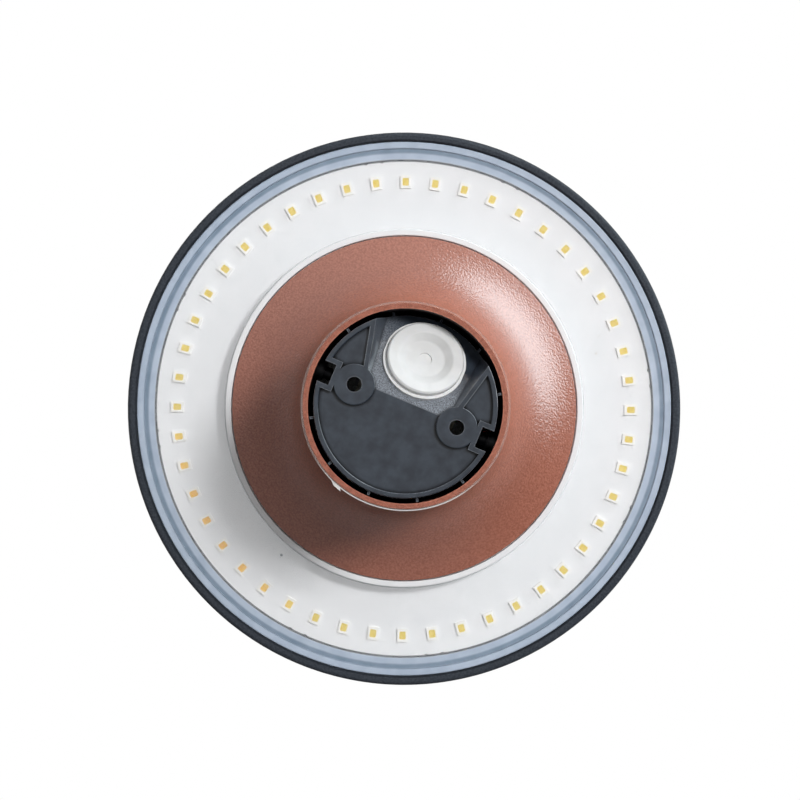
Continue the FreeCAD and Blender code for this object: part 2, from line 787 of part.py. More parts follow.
def terminal_clamps():
    clamps = []
    for x in pole_places():
        clamp = clamp_cell(x, 0).cut(pole_bore(x, clamp_bore_radius, block_length))
        for y in (-clamp_screw_place, clamp_screw_place):
            clamp = clamp.cut(cylinder(clamp_screw_radius, block_rear, clamp_axis, x, y))
        clamps.append(clamp)
    return Part.makeCompound(clamps)


def terminal_screws():
    """Clamp screws: slotted heads sunk in the block, points just clear of the leads."""
    seat = clamp_axis - clamp_side / 2
    length = clamp_axis - lead_radius - clamp_screw_tip_gap - seat
    radius = clamp_screw_radius - thread_clearance
    head_radius = m25_head_radius - seat_clearance
    return Part.makeCompound([screw(x, y, seat, length, 1, radius, head_radius, m25_head)
                              for x in pole_places() for y in (-clamp_screw_place, clamp_screw_place)])


def terminal_fixing_screws():
    length = block_height + block_screw_length - seat_clearance
    return Part.makeCompound([screw(x, y, block_rear, length, 1, m25_radius - thread_clearance,
                                    m25_head_radius, m25_head) for x, y in block_screw_places()])


def mains_lead(x):
    """From the driver's rear face, round into one pole of the block."""
    y = -driver_length / 2 + mains_exit_inset
    end = -block_length / 2 + lead_in_clamp
    return lead([(x, y, driver_rear), (x, y, clamp_axis), (x, end, clamp_axis)], lead_bend, lead_radius)


def earth_lead():
    """From its pole, beside the driver, down to the lug on the carrier plate."""
    start = -block_length / 2 + lead_in_clamp
    barrel_end = plate_rear - lug_thickness - lug_barrel
    points = [(earth_pole, start, clamp_axis), (earth_pole, -earth_run, clamp_axis),
              (earth_pole, -earth_run, barrel_end)]
    return lead(points, earth_lead_bend, lead_radius)


def earth_lug():
    near = plate_rear - lug_thickness
    barrel = cylinder(lug_barrel_radius, near - lug_barrel, plate_rear, earth_pole, -earth_run)
    tongue = block(earth_pole - lug_barrel_radius, earth_pole + lug_barrel_radius, lug_ring_y, -earth_run,
                   near, plate_rear)
    eye = cylinder(lug_ring_radius, near, plate_rear, earth_pole, lug_ring_y)
    hole = cylinder(m3_radius + seat_clearance, near, plate_rear, earth_pole, lug_ring_y)
    return fused([barrel, tongue, eye]).cut(hole)


def earth_screw():
    length = lug_thickness + plate_thickness + driver_screw_tail
    return screw(earth_pole, lug_ring_y, plate_rear - lug_thickness, length, 1, m3_radius,
                 m3_head_radius, m3_head)


def led_lead(side):
    """From the driver's side, through the bush, to the inner edge of the LED board."""
    y = side * led_lead_spacing / 2
    depth = plate_rear - led_lead_exit
    landing = board_face - led_lead_radius
    points = [(-driver_width / 2, y, depth), (-bush_place, y, depth), (-bush_place, y, landing),
              (led_lead_end_gap - ledge_bore, y, landing)]
    return lead(points, led_lead_bend, led_lead_radius)


PARTS = {
    "wall_base": wall_base,
    "cable_grommet": cable_grommet,
    "stem": stem,
    "wall_seal": wall_seal,
    "clinch_nuts": clinch_nuts,
    "grub_screw_left": lambda: grub_screw(180),
    "grub_screw_right": lambda: grub_screw(0),
    "front_cap": front_cap,
    "clear_cover": clear_cover,
    "cover_gasket": cover_gasket_ring,
    "collar_gasket": collar_gasket_ring,
    "led_board": led_board,
    "led_packages": led_packages,
    "led_phosphors": led_phosphors,
    "thermal_pad": thermal_pad_ring,
    "carrier_plate": carrier_plate,
    "plate_screws": plate_screws,
    "cap_screws": cap_screws,
    "lead_bush": lead_bush,
    "driver_case": driver_case,
    "driver_potting": driver_potting,
    "driver_screws": driver_screws,
    "terminal_block": terminal_block,
    "terminal_clamps": terminal_clamps,
    "terminal_screws": terminal_screws,
    "terminal_fixing_screws": terminal_fixing_screws,
    "live_lead": lambda: mains_lead(0),
    "neutral_lead": lambda: mains_lead(-pole_pitch),
    "earth_lead": earth_lead,
    "earth_lug": earth_lug,
    "earth_screw": earth_screw,
    "led_lead_positive": lambda: led_lead(1),
    "led_lead_negative": lambda: led_lead(-1),
}


def main():
    os.makedirs("parts", exist_ok=True)
    for name, make in PARTS.items():
        shape = make().rotated(Vector(0, 0, 0), Vector(1, 0, 0), 90)
        shape.exportStep(os.path.join("parts", name + ".step"))
        print(f"{name:24s} solids {len(shape.Solids):3d}  volume {shape.Volume:10.1f}  valid {shape.isValid()}")


main()
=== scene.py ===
"""Looks of the outdoor wall light: materials, studio light and the photograph's camera."""
import bpy
import json
import math
from mathutils import Matrix, Vector


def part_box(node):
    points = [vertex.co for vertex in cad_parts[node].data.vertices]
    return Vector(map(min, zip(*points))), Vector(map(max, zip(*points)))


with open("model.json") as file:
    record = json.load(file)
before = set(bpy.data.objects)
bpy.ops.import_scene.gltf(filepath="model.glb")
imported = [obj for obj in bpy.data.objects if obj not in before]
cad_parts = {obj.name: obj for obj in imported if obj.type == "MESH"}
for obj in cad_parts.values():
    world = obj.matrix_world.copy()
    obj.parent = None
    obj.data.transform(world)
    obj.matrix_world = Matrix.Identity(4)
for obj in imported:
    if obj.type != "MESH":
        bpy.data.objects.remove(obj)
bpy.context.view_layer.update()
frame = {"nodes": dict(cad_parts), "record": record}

MM = 0.001

# Camera, in metres and degrees
camera_roll = 22.9          # the line of the wall screws falls this much to the right in the picture
camera_from_wall = 0.514
camera_right = -0.0028      # of the light's axis
camera_up = -0.0048
aim_right = 0.0017          # where the camera points, on the LED board
aim_up = 0.00707
board_depth = 0.071
camera_lens = 97.2

# Light, in metres, degrees and watts
object_middle = Vector((0, -0.04, 0))
lamp_distance = 1.6
key_turn = 33.0             # of the two key lamps, up from the picture's right
high_key_lean = 26.5        # from the camera's axis
high_key_power = 15.8
high_key_size = 0.32
low_key_lean = 80.0
low_key_power = 16.5
low_key_size = 1.2
low_key_width = 2.2
low_key_colour = (0.88, 1.0, 1.05)
fill_lean = 3.0
fill_power = 3.1
fill_size = 0.7
front_place = (0.28, -0.85, 0.36)
front_power = 4.0
front_size = 0.6
ambient_low = 0.03          # light from round the object, away from its bright side
ambient_high = 0.3          # and from its bright side, which the next two place
ambient_lean = 60.0
ambient_turn = 100.0
gloss_low = 0.02            # what gloss mirrors in place of those two
gloss_high = 0.33
gloss_white = -0.7          # below this reach towards the wall, gloss mirrors plain white
gloss_room = -0.2           # and above this, the two values above

# Floor: sizes in metres, then its finish
floor_height = -0.3
floor_radius = 0.45
floor_corners = 96
floor_fade_start = 0.3 * floor_radius
floor_fade_end = 0.95 * floor_radius
floor_shade = 0.86
floor_roughness = 0.9
floor_bounce = 0.1          # its shade for the light that it throws back

# Clear cover: radii from the light's axis in metres, then its finish
cover_collar = 0.0482       # frosted collar inside this, frosted edge outside the next
cover_edge = 0.0671
cover_fade = 0.12 * MM      # each way
groove_inner = 0.06885      # the edge's groove, darker by painted shade, lies between these two
groove_outer = 0.0700
groove_fade = 0.25 * MM
clear_roughness = 0.03
frosted_roughness = 0.4
frosted_passes = 0.25       # share of what lies behind that shows through a frosted surface
collar_passes = 0.03        # and through the cover's collar
collar_shade = 0.35         # share of the lamps' light that the collar lets through
clear_shade = (0.96, 0.965, 0.97)   # what a clear piece leaves of the lamps' light

# Wall seal, in metres, then its finish
seal_edge = 0.02475         # radius outside which it can look white
seal_fade = 0.05 * MM
seal_white_side = (-0.26, 0, -0.96)     # it looks white towards its split end
seal_clear_place = 15 * MM  # along that direction
seal_white_place = 22 * MM
seal_white_elsewhere = 0.1
seal_roughness = 0.14

# LED board and LEDs
board_lit_start = 0.058       # radius from which painted light makes the board brighter
board_lit_full = 0.064
board_gap_shade = 0.0668         # and dark along its cut edge, a painted shade of the gap beside it
board_gap_shade_fade = 0.05 * MM
led_count = 48
led_circle = 0.0613
window_length = 2.15 * MM   # of an LED's window with rounded corners, out from the light's axis
window_width = 1.75 * MM
window_squareness = 6       # the power that its outline follows: 2 is an oval, more is squarer
window_limits = (0.5, 1.3)              # the outline is at 1, and fades between these
window_shade_side = (0.561, 0, -0.828)   # towards the ring's side in the stem's shadow, where the windows are painted a deeper orange
window_lit_place = 52.5 * MM           # along that direction
window_shaded_place = 60 * MM

# Wall base and grommet
pocket_slope = math.radians(25.0)       # of the pocket's floor
pocket_outwards = (0, math.cos(pocket_slope), math.sin(pocket_slope))
pocket_match = (0.985, 0.995)           # cosines to that direction past which a face is the floor's
# the pocket's floor is pale with a painted highlight, and fades to dark up its slope as a painted shadow of
# the stem
pocket_shadow_side = (-0.375, 0, 0.927)
pocket_shadowed = 15.5 * MM     # along that direction, where painted shadow leaves the floor dark, and where it is palest
pocket_lit = 9 * MM
crease_reach = 1.2 * MM     # painted shade darkens the base within this of a crease
crease_limits = (0.45, 0.9)             # painted shade below one share of open sky, none above the other
crease_shade_coat = 0.05           # share of the gloss left under the painted crease shade
edge_reach = 0.3 * MM       # and its edges are paler within this, part rubbed and part painted highlight
edge_limits = (0.85, 0.55)              # whole above one share, paler edge below the other
# direction towards the key lamps, for the grommet's painted shade
grommet_light_side = (-0.2, 0.74, 0.64)
grommet_light_match = (0.7, 0.88)      # cosines to that direction between which painted shade gives way to the rubber's own white
grommet_steep_match = (0.85, 0.7)       # and cosines to the pocket's direction past which steep faces have no painted shade

# Front cap and stem: radii from the light's axis in metres, then coat values
cap_pole = 0.0118           # the cap's dome runs from here to one point in its mesh
stem_matt = 0.028           # the stem is matt inside this, and has a metallic gloss outside the next
stem_glossy = 0.036
inner_face = -2 * MM        # a face looks inwards below this product of its place and normal
outer_face = -1 * MM
inner_grain_shade = 0.7       # of the darkest grains on inner faces, to the palest

# Grain, clouds and relief of the materials in metres, then shares and stretch
coat_grain = 0.55 * MM
coat_relief = 0.14 * MM
base_grain = 0.25 * MM
base_relief = 0.01 * MM
eroded_grain = 0.28 * MM
fine_grain = 0.2 * MM
fine_relief = 0.006 * MM
cloud_size = 3 * MM
smear_size = 4 * MM
seal_smear_size = 2 * MM
blotch_size = 12 * MM
gap_shade_grain = 0.4 * MM
dirt_size = 1.2 * MM
speck_spacing = 2.2 * MM
speck_limits = (0.76, 0.80)
satin_size = 2 * MM
mark_size = 0.15 * MM
mark_relief = 0.004 * MM
tarnish_size = 2 * MM
mottle_size = 0.5 * MM
sleeve_cloud_size = 2 * MM
stripe_start = 0.20 * MM    # of the earth sleeve, from its middle
stripe_full = 0.24 * MM
noise_low = 0.3             # noise lies mostly between these two
noise_high = 0.7
roughness_fall = 0.08       # how far a coat's or metal's roughness varies, each way
roughness_rise = 0.1
moulded_variation = 0.06    # and a moulding's, each way
sleeve_shade = 0.85         # of a sleeve's darkest clouds, to the palest
marks_up = (1, 1, 6)        # how metals' marks are drawn out along the axes
marks_across = (6, 1, 1)

mix_sockets = {"VECTOR": (4, 5, 1), "RGBA": (6, 7, 2)}      # a Mix node's two inputs and its output
led_white_tones = (0.92, 0.89, 0.83), (0.96, 0.93, 0.88)


class Tree:
    """Short ways to add nodes to a node tree."""

    def __init__(self, tree):
        self.nodes = tree.nodes
        self.links = tree.links

    def add(self, kind, operation=None):
        """A node of that kind, set to an operation where it has one."""
        made = self.nodes.new("ShaderNode" + kind)
        if operation:
            made.operation = operation
        return made

    def feed(self, socket, source):
        """Links a socket to a source, or sets it where the source is a plain number or colour."""
        if isinstance(source, bpy.types.NodeSocket):
            self.links.new(source, socket)
        else:
            socket.default_value = source

    def reckon(self, operation, first, second=None):
        """A sum of that kind on one or two values."""
        made = self.add("Math", operation)
        self.feed(made.inputs[0], first)
        if second is not None:
            self.feed(made.inputs[1], second)
        return made.outputs["Value"]

    def reckon_vector(self, operation, first, second=None):
        """The outputs of a sum of that kind on one or two vectors."""
        made = self.add("VectorMath", operation)
        self.feed(made.inputs[0], first)
        if second is not None:
            self.feed(made.inputs[1], second)
        return made.outputs

    def spread(self, value, low, high, start=0.0, end=1.0):
        """Maps low to start and high to end, and holds there."""
        made = self.add("MapRange")
        sources = {"Value": value, "From Min": low, "From Max": high, "To Min": start, "To Max": end}
        for name, source in sources.items():
            self.feed(made.inputs[name], source)
        return made.outputs["Result"]

    def either(self, factor, first, second):
        """A shader between two others."""
        made = self.add("MixShader")
        for socket, source in zip(made.inputs, (factor, first, second)):
            self.feed(socket, source)
        return made.outputs["Shader"]

    def seen_directly(self, kind):
        """One for camera rays and one more kind of rays that show a background, nought for its light."""
        path = self.add("LightPath").outputs
        seen = self.reckon("MAXIMUM", path["Is Camera Ray"], path[kind])
        straight = self.reckon("LESS_THAN", path["Diffuse Depth"], 0.5)
        return self.reckon("MULTIPLY", seen, straight)

    def show(self, shader):
        """Makes a shader the material's surface."""
        self.feed(self.nodes["Material Output"].inputs["Surface"], shader)


class Surface(Tree):
    """A procedural material: one Principled shader that is fed by noise and by zones of the piece."""

    def __init__(self, name, sockets):
        self.material = bpy.data.materials.new(name)
        self.material.use_nodes = True
        super().__init__(self.material.node_tree)
        self.shader = self.nodes["Principled BSDF"]
        self.place = self.add("TexCoord").outputs["Object"]
        for socket, value in sockets.items():
            self.give(socket, value)

    def give(self, socket, source):
        """Feeds one of the shader's sockets."""
        self.feed(self.shader.inputs[socket], source)

    def uneven(self, noise, low, high):
        """Roughness that goes from low to high with a noise."""
        self.give("Roughness", self.spread(noise, noise_low, noise_high, low, high))

    def noise(self, size, detail=2.0, stretch=(1, 1, 1)):
        """Noise whose grains are about size metres across, drawn out along the axes by stretch."""
        mapping = self.add("Mapping")
        self.feed(mapping.inputs["Vector"], self.place)
        self.feed(mapping.inputs["Scale"], [1 / s for s in stretch])
        made = self.add("TexNoise")
        self.feed(made.inputs["Vector"], mapping.outputs["Vector"])
        self.feed(made.inputs["Scale"], 1 / size)
        self.feed(made.inputs["Detail"], detail)
        return made.outputs["Fac"]

    def normal(self, kind="Normal"):
        return self.add("NewGeometry").outputs[kind]

    def facing(self, direction, low, high):
        """Nought at one cosine between the surface's normal and a direction, and one at the other."""
        return self.spread(self.reckon_vector("DOT_PRODUCT", self.normal(), direction)["Value"], low, high)

    def along(self, direction, low, high):
        """Nought at one distance along a direction and one at the other, in metres."""
        return self.spread(self.reckon_vector("DOT_PRODUCT", self.place, direction)["Value"], low, high)

    def off_axis(self):
        """The place without its depth."""
        return self.reckon_vector("MULTIPLY", self.place, (1, 0, 1))["Vector"]

    def from_axis(self):
        """Distance from the light's axis, in metres."""
        return self.reckon_vector("LENGTH", self.off_axis())["Value"]

    def radius(self, low, high):
        """Nought at one distance from the light's axis and one at the other, in metres."""
        return self.spread(self.from_axis(), low, high)

    def outside(self):
        """Nought on faces that look towards the light's axis, one on the others."""
        outwards = self.reckon_vector("DOT_PRODUCT", self.off_axis(), self.normal())["Value"]
        return self.spread(outwards, inner_face, outer_face)

    def open_sky(self, reach, inside=False):
        """One on open surfaces and less in creases, or on edges when looking inside the piece."""
        made = self.add("AmbientOcclusion")
        made.only_local = True
        made.inside = inside
        self.feed(made.inputs["Distance"], reach)
        return made.outputs["AO"]

    def tint(self, value, first, second, low=0.35, high=0.65):
        """A colour that goes from the first to the second as the value rises."""
        made = self.add("ValToRGB")
        for element, position, colour in zip(made.color_ramp.elements, (low, high), (first, second)):
            element.position = position
            element.color = (*colour, 1)
        self.feed(made.inputs["Fac"], value)
        return made.outputs["Color"]

    def mix(self, factor, first, second, kind="RGBA"):
        """A colour or vector between two others."""
        first_place, second_place, result_place = mix_sockets[kind]
        made = self.add("Mix")
        made.data_type = kind
        self.feed(made.inputs[0], factor)
        self.feed(made.inputs[first_place], first)
        self.feed(made.inputs[second_place], second)
        return made.outputs[result_place]

    def flat_inside(self, reach):
        """The normal of each face within reach of the light's axis, and the smooth normal beyond."""
        beyond = self.radius(reach, reach + MM)
        return self.mix(beyond, self.normal("True Normal"), self.normal(), kind="VECTOR")

    def bump(self, height, depth, normal=None):
        """Bump of that depth in metres, on the smooth normal or another."""
        made = self.add("Bump")
        self.feed(made.inputs["Distance"], depth)
        self.feed(made.inputs["Height"], height)
        if normal:
            self.feed(made.inputs["Normal"], normal)
        for socket in ("Normal", "Coat Normal"):
            self.give(socket, made.outputs["Normal"])

    def down_to(self, rest, mask):
        """One where a mask is nought, and a rest where it is one."""
        return self.spread(mask, 0, 1, 1, rest)

    def frost(self, mask, clear, milky, smooth, passes):
        """Clear where a mask is nought and milky where it is one; passes is how much shows through."""
        self.give("Base Color", self.mix(mask, clear, milky))
        self.give("Roughness", self.spread(mask, 0, 1, smooth, frosted_roughness))
        self.give("Transmission Weight", passes)

    def let_lamps_through(self, shade, share=1.0):
        """A share of the light from lamps and bounces passes, so that what lies under a piece is lit once."""
        path = self.add("LightPath").outputs
        light = self.reckon("MAXIMUM", path["Is Shadow Ray"], path["Is Diffuse Ray"])
        clear = self.add("BsdfTransparent")
        self.feed(clear.inputs["Color"], (*shade, 1))
        passing = self.reckon("MULTIPLY", light, share)
        self.show(self.either(passing, self.shader.outputs["BSDF"], clear.outputs["BSDF"]))


def powder_coat(name, inside, dark, light, roughness, sockets, gloss=None, pole=None):
    """Fine-textured powder coat, whose grains catch the light, dark on inner walls."""
    coat = Surface(name, sockets)
    grain = coat.noise(coat_grain)
    inner_dark = coat.tint(grain, [inner_grain_shade * c for c in inside], inside)
    coat.give("Base Color", coat.mix(coat.outside(), inner_dark, coat.tint(grain, dark, light)))
    coat.uneven(grain, roughness - roughness_fall, roughness + roughness_rise)
    coat.bump(grain, coat_relief, coat.flat_inside(pole) if pole else None)
    if gloss:
        coat.give("Coat Weight", coat.radius(*gloss))
    return coat.material


def base_plastic():
    """Dark moulded plastic: eroded on the pocket's floor, which is pale by a painted highlight and dark
    towards the stem by painted shadow; painted shade in creases; edges paler, part rubbed and part painted
    highlight.
    """
    plastic = Surface("base_plastic", {"Coat IOR": 2.3, "Coat Roughness": 0.11})
    grain = plastic.noise(base_grain)
    smooth = plastic.tint(plastic.noise(cloud_size, detail=6.0), (0.021, 0.028, 0.041), (0.039, 0.051, 0.070))
    # the eroded floor's grain is its own; its paleness is partly a painted highlight
    eroded_and_highlit = plastic.tint(plastic.noise(eroded_grain, detail=3.0), (0.075, 0.085, 0.10), (0.30, 0.33, 0.38))
    # paler edges: part rubbing, part painted highlight where edges would catch the light
    rubbed_and_highlit = plastic.tint(grain, (0.10, 0.11, 0.125), (0.20, 0.22, 0.25))
    # painted shade in creases: a near-black that stands in for the shade there
    crease_shade = plastic.tint(grain, (0.004, 0.004, 0.005), (0.008, 0.009, 0.010))
    floor = plastic.facing(pocket_outwards, *pocket_match)
    # painted shadow: the pale floor fades to dark towards the stem's side
    lit_pocket_floor = plastic.reckon("MULTIPLY", floor, plastic.along(pocket_shadow_side, pocket_shadowed, pocket_lit))
    edges = plastic.spread(plastic.open_sky(edge_reach, inside=True), *edge_limits)
    paler_tone = plastic.mix(edges, plastic.mix(lit_pocket_floor, smooth, eroded_and_highlit), rubbed_and_highlit)
    in_the_open = plastic.spread(plastic.open_sky(crease_reach), *crease_limits)
    plastic.give("Base Color", plastic.mix(in_the_open, crease_shade, paler_tone))
    plastic.give("Coat Weight", plastic.spread(in_the_open, 0, 1, crease_shade_coat, 1))
    plastic.uneven(grain, 0.3, 0.44)
    plastic.bump(grain, base_relief)
    return plastic.material


def moulded(name, first, second, roughness, sockets):
    """Plain moulded plastic or rubber with a faint cloudiness and a fine matt grain."""
    plastic = Surface(name, sockets)
    grain = plastic.noise(fine_grain)
    plastic.give("Base Color", plastic.tint(plastic.noise(cloud_size), first, second))
    plastic.uneven(grain, roughness - moulded_variation, roughness + moulded_variation)
    plastic.bump(grain, fine_relief)
    return plastic.material


def grommet_rubber():
    """Soft white rubber, with painted shade on the gentle slopes that look away from the key lamps."""
    rubber = Surface("grommet_rubber", {"Subsurface Weight": 0.08, "Subsurface Radius": (1.0, 0.8, 0.6),
                                        "Subsurface Scale": 1.5 * MM})
    grain = rubber.noise(fine_grain)
    cloud = rubber.noise(cloud_size)
    paler_tone = rubber.tint(cloud, (0.80, 0.80, 0.797), (0.84, 0.84, 0.837))
    # painted shade: a grey for the slopes that face away from the light
    dimmer = rubber.tint(cloud, (0.62, 0.62, 0.615), (0.67, 0.67, 0.665))
    towards_light = rubber.facing(grommet_light_side, *grommet_light_match)
    steep = rubber.facing(pocket_outwards, *grommet_steep_match)
    rubber.give("Base Color", rubber.mix(rubber.reckon("MAXIMUM", towards_light, steep), dimmer, paler_tone))
    rubber.uneven(grain, 0.44, 0.56)
    rubber.bump(grain, fine_relief)
    return rubber.material


def milky_silicone():
    """Milky silicone, which lets some light through to the board beside it."""
    gasket = Surface("milky_silicone", {"Specular IOR Level": 0.4})
    cloud = gasket.noise(cloud_size)
    gasket.give("Base Color", gasket.tint(cloud, (0.56, 0.64, 0.71), (0.63, 0.70, 0.76)))
    gasket.uneven(cloud, 0.4, 0.5)
    gasket.let_lamps_through((0.75, 0.8, 0.85))
    return gasket.material


def clear_cover():
    """Clear polycarbonate, frosted at its collar and at its outer edge, which has painted shade in its
    groove.
    """
    cover = Surface("clear_polycarbonate", {"IOR": 1.58})
    smear = cover.noise(smear_size, detail=4.0)
    clear = cover.tint(smear, (0.955, 0.96, 0.965), (0.985, 0.985, 0.99))
    edge = cover.tint(smear, (0.48, 0.56, 0.68), (0.57, 0.65, 0.77))
    # painted shade for the edge's groove
    groove_shade = cover.tint(smear, (0.21, 0.285, 0.375), (0.27, 0.345, 0.445))
    collar = cover.tint(smear, (0.90, 0.905, 0.92), (0.93, 0.933, 0.942))
    at_edge = cover.radius(cover_edge - cover_fade, cover_edge + cover_fade)
    at_collar = cover.radius(cover_collar + cover_fade, cover_collar - cover_fade)
    before_outer = cover.radius(groove_outer + groove_fade, groove_outer - groove_fade)
    before_inner = cover.radius(groove_inner + groove_fade, groove_inner - groove_fade)
    grooved_edge = cover.mix(before_inner, cover.mix(before_outer, edge, groove_shade), edge)
    frosted = cover.reckon("MAXIMUM", at_edge, at_collar)
    through_frost = cover.down_to(frosted_passes, frosted)
    through_collar = cover.down_to(collar_passes, at_collar)
    cover.frost(frosted, clear, cover.mix(at_collar, grooved_edge, collar), clear_roughness,
                cover.reckon("MINIMUM", through_frost, through_collar))
    cover.let_lamps_through(clear_shade, cover.down_to(collar_shade, at_collar))
    return cover.material


def edge_seal():
    """Clear silicone strip, which looks white along its outer edge near its split end."""
    seal = Surface("clear_silicone", {"IOR": 1.41})
    smear = seal.noise(seal_smear_size, detail=3.0)
    clear = seal.tint(smear, (0.82, 0.71, 0.65), (0.87, 0.76, 0.70))
    white = seal.tint(smear, (0.78, 0.76, 0.75), (0.86, 0.85, 0.84))
    at_edge = seal.radius(seal_edge - seal_fade, seal_edge + seal_fade)
    near_end = seal.along(seal_white_side, seal_clear_place, seal_white_place)
    whiteness = seal.reckon("MULTIPLY", at_edge, seal.spread(near_end, 0, 1, seal_white_elsewhere, 1))
    seal.frost(whiteness, clear, white, seal_roughness, seal.down_to(frosted_passes, whiteness))
    seal.let_lamps_through(clear_shade)
    return seal.material


def white_board():
    """White solder mask: satin, with faint blotches, a few specks of dirt, painted light towards its edge and
    painted shade along its cut edge.
    """
    board = Surface("white_board", {"Specular IOR Level": 0.4})
    blotch = board.noise(blotch_size)
    inner_white = board.tint(blotch, (0.82, 0.82, 0.825), (0.84, 0.84, 0.843))
    paler_tone = board.tint(blotch, (0.85, 0.85, 0.853), (0.87, 0.87, 0.872))
    # painted shade: near black along the cut edge, where the gap beside it is in shade
    gap_shade = board.tint(board.noise(gap_shade_grain), (0.05, 0.056, 0.065), (0.09, 0.098, 0.11))
    dirt = board.tint(board.noise(dirt_size), (0.80, 0.81, 0.825), (0.50, 0.40, 0.30), low=0.2, high=0.9)
    # painted light: the board's outer ring is paler, standing in for even light out to its edge
    white = board.mix(board.radius(board_lit_start, board_lit_full), inner_white, paler_tone)
    at_edge = board.radius(board_gap_shade - board_gap_shade_fade, board_gap_shade + board_gap_shade_fade)
    speck = board.spread(board.noise(speck_spacing), *speck_limits)
    board.give("Base Color", board.mix(speck, board.mix(at_edge, white, gap_shade), dirt))
    board.uneven(board.noise(satin_size), 0.32, 0.42)
    return board.material


def metal(name, first, second, roughness, stretch):
    """Plated or turned metal, with fine marks drawn out along one axis."""
    steel = Surface(name, {"Metallic": 1.0})
    marks = steel.noise(mark_size, stretch=stretch)
    steel.give("Base Color", steel.tint(steel.noise(tarnish_size), first, second))
    steel.uneven(marks, roughness - roughness_fall, roughness + roughness_rise)
    steel.bump(marks, mark_relief)
    return steel.material


def from_led_middle(resin):
    """Distance round the ring from the middle of the nearest LED, in metres."""
    parts = resin.add("SeparateXYZ")
    resin.feed(parts.inputs["Vector"], resin.place)
    angle = resin.reckon("ARCTAN2", parts.outputs["Z"], parts.outputs["X"])
    step = 2 * math.pi / led_count
    steps = resin.reckon("ADD", resin.reckon("DIVIDE", angle, step), 0.5)
    share = resin.reckon("SUBTRACT", resin.reckon("FRACT", steps), 0.5)
    return resin.reckon("MULTIPLY", share, step * led_circle)


def past_window(resin):
    """Nought inside the LEDs' windows, whose corners are rounded, and one past their edges."""
    outwards = resin.reckon("SUBTRACT", resin.from_axis(), led_circle)
    sides = ((outwards, window_length / 2), (from_led_middle(resin), window_width / 2))
    shares = [resin.reckon("DIVIDE", resin.reckon("ABSOLUTE", value), half) for value, half in sides]
    first, second = [resin.reckon("POWER", share, window_squareness) for share in shares]
    return resin.spread(resin.reckon("ADD", first, second), *window_limits)


def phosphor():
    """Yellow phosphor resin, a little mottled, in white LED bodies, painted a deeper orange on the ring's
    shaded side.
    """
    resin = Surface("phosphor", {"Specular IOR Level": 0.1})
    mottle = resin.noise(mottle_size)
    yellow = resin.tint(mottle, (0.79, 0.55, 0.03), (0.87, 0.67, 0.09))
    # painted shade: a deeper orange for the windows on the ring's shaded side
    shaded_orange = resin.tint(mottle, (0.97, 0.47, 0.001), (0.995, 0.55, 0.002))
    body = resin.tint(mottle, *led_white_tones)
    shaded_side = resin.along(window_shade_side, window_lit_place, window_shaded_place)
    resin.give("Base Color", resin.mix(past_window(resin), resin.mix(shaded_side, yellow, shaded_orange), body))
    resin.uneven(mottle, 0.25, 0.4)
    return resin.material


def sleeve(name, colour):
    """Glossy wire sleeve, slightly uneven."""
    return moulded(name, [sleeve_shade * c for c in colour], colour, 0.35, {"Specular IOR Level": 0.5})


def earth_sleeve():
    """Green sleeve with a yellow stripe along it."""
    plastic = Surface("earth_green", {"Specular IOR Level": 0.5})
    cloud = plastic.noise(sleeve_cloud_size)
    green = plastic.tint(cloud, (0.06, 0.26, 0.05), (0.09, 0.32, 0.06))
    yellow = plastic.tint(cloud, (0.62, 0.46, 0.04), (0.70, 0.54, 0.06))
    low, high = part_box("earth_lead")
    middle = (low.x + high.x) / 2
    stripe = plastic.along((1, 0, 0), middle + stripe_start, middle + stripe_full)
    plastic.give("Base Color", plastic.mix(stripe, green, yellow))
    plastic.uneven(cloud, 0.3, 0.42)
    return plastic.material


